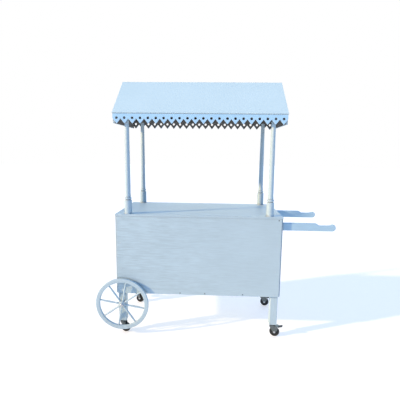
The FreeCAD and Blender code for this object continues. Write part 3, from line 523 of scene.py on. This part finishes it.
def skin(mesh, outlines, closed=False):
    loops = [[mesh.verts.new(point) for point in outline] for outline in outlines]
    followers = loops[1:] + loops[:1] if closed else loops[1:]
    for near, far in zip(loops, followers):
        for index, corner in enumerate(near):
            after = (index + 1) % len(near)
            mesh.faces.new((corner, near[after], far[after], far[index]))
    if not closed:
        mesh.faces.new(list(reversed(loops[0])))
        mesh.faces.new(loops[-1])


def put_in_scene(name, data):
    item = bpy.data.objects.new(name, data)
    bpy.context.collection.objects.link(item)
    return item


def made_of(name, mesh, finish):
    """The object that a finished mesh becomes."""
    data = bpy.data.meshes.new(name)
    mesh.to_mesh(data)
    mesh.free()
    data.materials.append(finish)
    return put_in_scene(name, data)


def fit(name, mesh, body, finish):
    bmesh.ops.recalc_face_normals(mesh, faces=mesh.faces)
    for face in mesh.faces:
        face.smooth = True
    for edge in mesh.edges:
        edge.smooth = edge.calc_face_angle(0.0) < math.radians(CREASE_DEGREES)
    item = made_of(name, mesh, finish)
    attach(item, body)


print("small pieces crease at", CREASE_DEGREES, "degrees")

# %% [markdown]
# ## Cross-head screws
# Countersunk screws hold the panels to the legs and rails. Each head stands a hair proud of the wood,
# with a cross pressed into it. A Boolean could cut the cross out of a disc, but would leave long thin
# faces, so the head is skinned from its rim inward: a ring, the outline of the cross, and the smaller
# floor of the cross further down. Each is turned by a golden-angle step, because no two screws stop
# at the same place.

# %% Screw heads
GOLDEN_TURN = math.radians(137.5)
CROSS_REACH, CROSS_HALF_WIDTH = 0.56, 0.13
CROSS_FLOOR, CROSS_DEPTH = 0.75, 0.32
HEAD_ROOT = -0.0006
RIM_HEIGHT = 0.4
SHOULDER_REACH, SHOULDER_HEIGHT = 0.9, 0.8


def cross_outline(reach, half_width):
    """A plus sign as its twelve corners and the middles of its edges."""
    quarter = [(reach, -half_width), (reach, half_width), (half_width, half_width)]
    corners = []
    for turn in range(4):
        spin = Matrix.Rotation(turn * math.pi / 2, 2)
        corners += [spin @ Vector(corner) for corner in quarter]
    points = []
    for index, corner in enumerate(corners):
        points += [corner, (corner + corners[(index + 1) % len(corners)]) / 2]
    return points


def laid(centre, outward, turn=0.0):
    """The matrix that lays a flat outline on a face at some place."""
    lie = Matrix.Translation(centre) @ outward.to_track_quat("Z", "Y").to_matrix().to_4x4()
    return lie @ Matrix.Rotation(turn, 4, "Z")


def screw_head(mesh, centre, outward, turn, radius, proud):
    cross = cross_outline(radius * CROSS_REACH, radius * CROSS_HALF_WIDTH)
    rim = [point.normalized() * radius for point in cross]
    levels = [
        (rim, HEAD_ROOT),
        (rim, proud * RIM_HEIGHT),
        ([point * SHOULDER_REACH for point in rim], proud * SHOULDER_HEIGHT),
        (cross, proud),
        ([point * CROSS_FLOOR for point in cross], proud - radius * CROSS_DEPTH),
    ]
    lie = laid(centre, outward, turn)
    skin(mesh, [[lie @ Vector((*point, level)) for point in outline] for outline, level in levels])


def screws(name, places, outward, finish, radius=0.0042, proud=0.0005):
    mesh = bmesh.new()
    for index, place in enumerate(places):
        screw_head(mesh, Vector(place), Vector(outward), index * GOLDEN_TURN, radius, proud)
    fit(name, mesh, "cart", finish)


def spaced(first, last, count):
    """Evenly spaced values, with the first and the last among them."""
    return [first + (last - first) * step / (count - 1) for step in range(count)]


print("one head is skinned over rings of", len(cross_outline(CROSS_REACH, CROSS_HALF_WIDTH)), "points")

# %% [markdown]
# On the front panel most heads went under the brush with the panel. Four have lost their paint and
# show as small dark dots: three along the bottom and one in the upper corner by the handle.

# %% Screws of the front panel
SCREW_EDGE = 0.012
LEG_SCREW_HEIGHTS = (0.520, 0.715)
PAINTED_FOOT_SCREW = -0.470
PAINTED_HEAD_SCREWS = (-0.410, -0.120, 0.170)
BARE_FOOT_SCREWS = (-0.248, -0.063, 0.218)
BARE_CORNER_SHIFT = 0.010
panel_low, panel_high = corners_of("front_panel")
foot_line, head_line = panel_low.z + SCREW_EDGE, panel_high.z - SCREW_EDGE
leg_left = middle_of("corner_leg_front_left").x
leg_right = middle_of("corner_leg_front_right").x

painted_places = [(x, foot_line) for x in (leg_left, PAINTED_FOOT_SCREW, leg_right)]
painted_places += [(x, head_line) for x in (leg_left, *PAINTED_HEAD_SCREWS)]
painted_places += [(x, z) for x in (leg_left, leg_right) for z in LEG_SCREW_HEIGHTS]
bare_places = [(x, foot_line) for x in BARE_FOOT_SCREWS] + [(leg_right + BARE_CORNER_SHIFT, head_line)]


def on_the_panel(places):
    return [(x, panel_low.y, z) for x, z in places]


screws("front_panel_screws", on_the_panel(painted_places), (0, -1, 0), panel_paint)
screws("front_panel_old_screws", on_the_panel(bare_places), (0, -1, 0), old_screw)
print("front panel:", len(painted_places), "screws painted over,", len(bare_places), "bare")

# %% [markdown]
# The end panels are screwed to the legs in two columns, the counter from above into the rails under
# it, the shelf's cleats from inside, and the gables into the ends of the eave rails and the ridge
# beam. The same helper does them all; only the face and the outward direction change.

# %% Screws of the end panels, gables, cleats and counter
END_SCREW_HEIGHTS = spaced(0.352, 0.893, 4)
CLEAT_SCREW_DEPTHS = spaced(-0.19, 0.19, 3)
COUNTER_SCREW_ROWS = (-0.268, 0.268)
COUNTER_SCREW_COLUMNS = spaced(-0.45, 0.22, 3)
leg_row = middle_of("corner_leg_back_left").y
roof_rails = [middle_of(rail) for rail in ("eave_rail_front", "eave_rail_back", "ridge_beam")]
for end, side in ENDS.items():
    panel_face = face_of("side_panel_" + end, X, side)
    places = [(panel_face, y, z) for y in (-leg_row, leg_row) for z in END_SCREW_HEIGHTS]
    screws("side_panel_screws_" + end, places, (side, 0, 0), end_panel_paint)
    gable_face = face_of("gable_end_" + end, X, side)
    places = [(gable_face, rail.y, rail.z) for rail in roof_rails]
    screws("gable_screws_" + end, places, (side, 0, 0), gable_paints[end])
    cleat_face = face_of("shelf_cleat_" + end, X, -side)
    cleat_height = middle_of("shelf_cleat_" + end).z
    places = [(cleat_face, y, cleat_height) for y in CLEAT_SCREW_DEPTHS]
    screws("cleat_screws_" + end, places, (-side, 0, 0), old_screw, radius=0.0036)

counter_face = face_of("counter_top", Z, 1)
places = [(x, y, counter_face) for y in COUNTER_SCREW_ROWS for x in COUNTER_SCREW_COLUMNS]
screws("counter_screws", places, (0, 0, 1), rail_paint)
print("each end panel holds", 2 * len(END_SCREW_HEIGHTS), "screws, the counter", len(places))

# %% [markdown]
# ## Nails
# The thin roof sheets are nailed along the eave, the ridge and both gables, and the fretted boards
# along their top. A nail head is a plain round button, so it is skinned from three rings. The roof's
# slope gives the outward direction.

# %% Nail heads
NAIL_SIDES = 12
NAIL_ROOT = -0.0005
BUTTON_RIM_HEIGHT, BUTTON_TOP_REACH = 0.5, 0.7


def nail_head(mesh, centre, outward, radius, proud):
    lie = laid(centre, outward)
    turns = [math.tau * step / NAIL_SIDES for step in range(NAIL_SIDES)]
    levels = [
        (radius, NAIL_ROOT),
        (radius, proud * BUTTON_RIM_HEIGHT),
        (radius * BUTTON_TOP_REACH, proud),
    ]
    skin(mesh, [[lie @ Vector((size * math.cos(turn), size * math.sin(turn), level)) for turn in turns]
                for size, level in levels])


def nails(name, places, outward, finish, radius=0.0028, proud=0.0006):
    mesh = bmesh.new()
    for place in places:
        nail_head(mesh, Vector(place), Vector(outward), radius, proud)
    fit(name, mesh, "cart", finish)


print("a nail head has", NAIL_SIDES, "sides")

# %% [markdown]
# Each row of nails on a roof sheet lies at some share of the way down from the ridge. Two rows run
# the length of the sheet, and single nails hold it to the gable at either end.

# %% Nails of the roof and the fretted boards
LONG_ROWS = (0.03, 0.88)
GABLE_ROWS = (0.25, 0.46, 0.67)
LONG_ROW_INSET, GABLE_INSET = 0.05, 0.009
FRET_NAIL_DROP = 0.007
FRET_NAIL_COLUMNS = spaced(-0.69, 0.455, 8)
gable_to_gable = spaced(roof_low.x + LONG_ROW_INSET, roof_high.x - LONG_ROW_INSET, 9)
both_gables = (roof_low.x + GABLE_INSET, roof_high.x - GABLE_INSET)
nail_rows = [(share, gable_to_gable) for share in LONG_ROWS]
nail_rows += [(share, both_gables) for share in GABLE_ROWS]
for row, side in ROWS.items():
    downhill = Vector((0, side * roof_run, -roof_rise))
    places = [Vector((x, 0, roof_high.z)) + downhill * share for share, line in nail_rows for x in line]
    nails("roof_nails_" + row, places, roof_out[row], roof_paints[row])
    fret_face = face_of("valance_" + row, Y, side)
    fret_line = face_of("valance_" + row, Z, 1) - FRET_NAIL_DROP
    places = [(x, fret_face, fret_line) for x in FRET_NAIL_COLUMNS]
    nails("valance_nails_" + row, places, (0, side, 0), fret_paints[row], radius=0.002)
print("each roof sheet holds", sum(len(line) for share, line in nail_rows), "nails")

# %% [markdown]
# The shelf is nailed down to its cleats, and the floor board along its ends and its back rail. These
# heads show only from behind, where the cart is open, so the same plain buttons do.

# %% Nails of the shelf and the floor board
BOARD_NAIL_INSET = 0.010
BOARD_NAIL_DEPTHS = spaced(-0.16, 0.16, 3)
BACK_NAIL_INSET = 0.020
BACK_NAIL_COLUMNS = spaced(-0.58, 0.35, 4)
for board in ("storage_shelf", "floor_board"):
    low, high = corners_of(board)
    both_ends = (low.x + BOARD_NAIL_INSET, high.x - BOARD_NAIL_INSET)
    places = [(x, y, high.z) for x in both_ends for y in BOARD_NAIL_DEPTHS]
    if board == "floor_board":
        places += [(x, high.y - BACK_NAIL_INSET, high.z) for x in BACK_NAIL_COLUMNS]
    nails(board + "_nails", places, (0, 0, 1), board_paint)
    print(board, "holds", len(places), "nails")

# %% [markdown]
# ## Filler beads
# Where a post stands on the counter, and where a handle leaves the end panel, the painter ran a
# finger of filler round the joint. It is a thin cove, so its section is a small hollow triangle,
# carried round the outline of the joint and closed on itself. A curve with a bevel could do this too,
# but a skin mitres the handle's corners without any trimming.

# %% Beads of filler at the posts and the handles
UP = Vector((0, 0, 1))
POST_FOOT_RADIUS = 0.027
BEAD_SIZE = 0.0022
BEAD_STEPS = 48
COVE = ((-0.3, -0.3), (1.0, -0.3), (1.0, 0.08), (0.36, 0.36), (0.08, 1.0), (-0.3, 1.0))


def bead_section(out, up, centre):
    """A hollow cove seen end on: root inside the joint, toe outward, head upward."""
    return [centre + out * (aside * BEAD_SIZE) + up * (above * BEAD_SIZE) for aside, above in COVE]


def post_bead(mesh, centre):
    outlines = []
    for step in range(BEAD_STEPS):
        turn = math.tau * step / BEAD_STEPS
        out = Vector((math.cos(turn), math.sin(turn), 0))
        outlines.append(bead_section(out, UP, centre + out * POST_FOOT_RADIUS))
    skin(mesh, outlines, closed=True)


def handle_bead(mesh, low, high, face):
    middle = (low + high) / 2
    outlines = []
    for y, z in ((low.y, low.z), (high.y, low.z), (high.y, high.z), (low.y, high.z)):
        out = Vector((0, math.copysign(1, y - middle.y), math.copysign(1, z - middle.z)))
        outlines.append(bead_section(out, Vector((1, 0, 0)), Vector((face, y, z))))
    skin(mesh, outlines, closed=True)


post_beads = bmesh.new()
for post in [name for name in nodes if name.startswith("post_")]:
    foot = middle_of(post)
    post_bead(post_beads, Vector((foot.x, foot.y, counter_face)))
fit("post_filler", post_beads, "cart", rail_paint)

handle_beads = bmesh.new()
for row in ROWS:
    handle_bead(handle_beads, *corners_of("handle_" + row), face_of("side_panel_right", X, 1))
fit("handle_filler", handle_beads, "cart", end_panel_paint)
print("filler beads", BEAD_SIZE * 1000, "mm high")

# %% [markdown]
# ## Running gear details
# Each caster plate is held by four pan-head screws from below. The wheel is a moulding with six
# ribs on each face between hub and tread. Ribs are tapered bars: a moulding has to leave its mould,
# so the top outline is narrower than the foot.

# %% Caster screws and wheel ribs
CASTERS = [row + "_" + end for row in ROWS for end in ENDS]
PLATE_THICKNESS = 0.003
PLATE_SCREW_SHIFTS = (-0.019, 0.019)
PAN_RADIUS, PAN_PROUD = 0.0044, 0.0018
RIB_COUNT = 6
RIB_INNER, RIB_OUTER, RIB_WIDTH = 0.0122, 0.0272, 0.003
WEB_FACE, RIB_FACE = 0.0074, 0.0102
MOULD_DRAFT = 0.7


def tapered_bar(mesh, middle, along, across, up, length, width, height):
    outlines = []
    for level, share in ((0.0, 1.0), (height, MOULD_DRAFT)):
        half_length = along * (length / 2 - (1 - share) * width)
        half_width = across * (width / 2 * share)
        base = middle + up * level
        outlines.append([base - half_length - half_width, base + half_length - half_width,
                         base + half_length + half_width, base - half_length + half_width])
    skin(mesh, outlines)


def wheel_ribs(mesh, centre, axle_line):
    """Ribs on both faces of one caster wheel, about its axle."""
    size = (RIB_OUTER - RIB_INNER, RIB_WIDTH, RIB_FACE - WEB_FACE)
    for face in (-axle_line, axle_line):
        for step in range(RIB_COUNT):
            along = Matrix.Rotation(math.tau * step / RIB_COUNT, 3, axle_line) @ UP
            middle = centre + along * ((RIB_INNER + RIB_OUTER) / 2) + face * WEB_FACE
            tapered_bar(mesh, middle, along, along.cross(face), face, *size)


def trail_of(caster):
    """The level line from a caster's king pin to its wheel."""
    return (middle_of("caster_wheel_" + caster) - middle_of("corner_leg_" + caster)) * Vector((1, 1, 0))


for caster in CASTERS:
    leg = middle_of("corner_leg_" + caster)
    plate_under = face_of("caster_plate_" + caster, Z, 1) - PLATE_THICKNESS
    places = [(leg.x + x, leg.y + y, plate_under) for x in PLATE_SCREW_SHIFTS for y in PLATE_SCREW_SHIFTS]
    screws("caster_screws_" + caster, places, -UP, zinc, PAN_RADIUS, PAN_PROUD)
    ribs = bmesh.new()
    wheel_ribs(ribs, middle_of("caster_wheel_" + caster), UP.cross(trail_of(caster)).normalized())
    fit("caster_wheel_ribs_" + caster, ribs, "caster_roller_" + caster, tyre_rubber)
print("casters trail", round(trail_of(CASTERS[0]).length * 1000, 1), "mm behind their legs")

# %% [markdown]
# The brake pedal has ribs across it so that a shoe doesn't slip. They lie on its sloping top, which
# starts a little past the pivot pin and rises outward, and they ride on the pedal's own body so that
# they go down with it. The tread's two ends are given from the pin, as outward and upward steps.

# %% Brake pedal ribs
TREAD_START, TREAD_END = Vector((0.005, 0.005)), Vector((0.035, 0.013))
TREAD_RIBS = (0.30, 0.50, 0.70, 0.90)
TREAD_RIB_SIZE = (0.020, 0.0024, 0.0015)
TREAD_RIB_SUNK = 0.0004
slope = TREAD_END - TREAD_START
for row in ROWS:
    caster = row + "_right"
    outward = trail_of(caster).normalized()
    across = UP.cross(outward)
    uphill = (outward * slope.x + UP * slope.y).normalized()
    off_tread = uphill.cross(across)
    pivot = middle_of("brake_pin_" + caster)
    ribs = bmesh.new()
    for share in TREAD_RIBS:
        step = TREAD_START + slope * share
        middle = pivot + outward * step.x + UP * step.y - off_tread * TREAD_RIB_SUNK
        tapered_bar(ribs, middle, across, uphill, off_tread, *TREAD_RIB_SIZE)
    fit("brake_pedal_ribs_" + caster, ribs, "caster_brake_" + caster, pedal_plastic)
print("pedals rise", round(math.degrees(math.atan2(slope.y, slope.x))), "degrees outward")

# %% [markdown]
# ## Floor, light and camera
# The cart stands on a pale seamless floor. More light from all round would keep the shadows on it
# pale, but would also take the shading off the cart, so the floor gives out some light of its own.

# %% The pale floor
FLOOR_COLOURS = ((0.555, 0.550, 0.535, 1.0), (0.585, 0.580, 0.565, 1.0))
FLOOR_GLOW, FLOOR_GLOW_STRENGTH = (1.0, 0.97, 0.97, 1.0), 0.55
FLOOR_RADIUS, FLOOR_SIDES = 30.0, 96
floor_finish = Finish("pale_floor")
floor_tone = floor_finish.speckle(1.4, 4.0)
floor_finish.surface({
    "Base Color": floor_finish.blend(floor_tone, *FLOOR_COLOURS),
    "Roughness": 0.75 + floor_tone * 0.1,
    "Emission Color": FLOOR_GLOW,
    "Emission Strength": FLOOR_GLOW_STRENGTH,
})
floor_mesh = bmesh.new()
bmesh.ops.create_circle(floor_mesh, cap_ends=True, segments=FLOOR_SIDES, radius=FLOOR_RADIUS)
studio_floor = made_of("studio_floor", floor_mesh, floor_finish.material)

# %% [markdown]
# The surround lights everything evenly with a soft blue light, strongest overhead, as on a clear day.
# The camera itself sees plain white behind the cart. A white wall would light the cart as well, so a
# Light Path node tells the camera's own rays from the rest.

# %% The surround
HORIZON_LIGHT = (0.140, 0.300, 0.580, 1.0)
OVERHEAD_LIGHT = (0.340, 0.660, 1.220, 1.0)
WHITE = (1.0, 1.0, 1.0, 1.0)
scene = bpy.context.scene
scene.view_settings.view_transform = "Standard"
world = bpy.data.worlds.new("pale_surround")
world.use_nodes = True
surround = Palette(world.node_tree)
direction = surround.node("TexCoord", out="Generated")
height = surround.part(direction, "Z").kept_between_0_and_1()
light = surround.blend(height, HORIZON_LIGHT, OVERHEAD_LIGHT)
seen = surround.node("LightPath", out="Is Camera Ray")
feed(world.node_tree.nodes["Background"].inputs["Color"], surround.blend(seen, light, WHITE))
scene.world = world
print("surround", HORIZON_LIGHT[:3], "to", OVERHEAD_LIGHT[:3])

# %% [markdown]
# A warm key light stands low on the left, a little in front, where the sun was: it brightens the left
# of each post and draws the wheel's shadow on the panel. A broad, weak light from behind lifts the
# open back, which the key can't reach. The spread of each, in degrees, softens its shadows.

# %% The key light and the back light
def soft_sun(name, towards, energy, spread, colour):
    sun = bpy.data.lights.new(name, "SUN")
    sun.energy = energy
    sun.angle = math.radians(spread)
    sun.color = colour
    lamp = put_in_scene(name, sun)
    lamp.rotation_euler = Vector(towards).to_track_quat("Z", "Y").to_euler()
    print(name, round(math.degrees(math.asin(Vector(towards).normalized().z))), "degrees above the floor")


soft_sun("key_light", towards=(-0.87, -0.33, 0.37), energy=4.6, spread=2.2, colour=(1.0, 0.72, 0.38))
soft_sun("back_light", towards=(0.20, 0.92, 0.33), energy=0.75, spread=50.0, colour=(0.95, 1.0, 0.86))

# %% [markdown]
# The camera stands where the photograph was taken: a little right of the middle of the box, at the
# height of the posts, tilted down by about eight degrees. Its axes are worked out from yaw, pitch
# and roll, in radians.

# %% The camera
CAMERA_PLACE = Vector((-0.0132, -2.7314, 1.4001))
YAW, PITCH, ROLL = -0.0385, 0.1455, -0.0120
SENSOR_WIDTH, FOCAL_LENGTH = 36.0, 30.87
ahead = Vector((math.sin(YAW) * math.cos(PITCH), math.cos(YAW) * math.cos(PITCH), -math.sin(PITCH)))
sideways = Vector((math.cos(YAW), -math.sin(YAW), 0))
under = ahead.cross(sideways)
right = math.cos(ROLL) * sideways + math.sin(ROLL) * under
down = math.cos(ROLL) * under - math.sin(ROLL) * sideways
lens = bpy.data.cameras.new("photo_camera")
lens.sensor_width = SENSOR_WIDTH
lens.lens = FOCAL_LENGTH
camera = put_in_scene("photo_camera", lens)
axes = Matrix((right, -down, -ahead)).transposed()
camera.matrix_world = Matrix.Translation(CAMERA_PLACE) @ axes.to_4x4()
scene.camera = camera
print("camera", round(-CAMERA_PLACE.y, 2), "m in front, lens", FOCAL_LENGTH, "mm")

# %% [markdown]
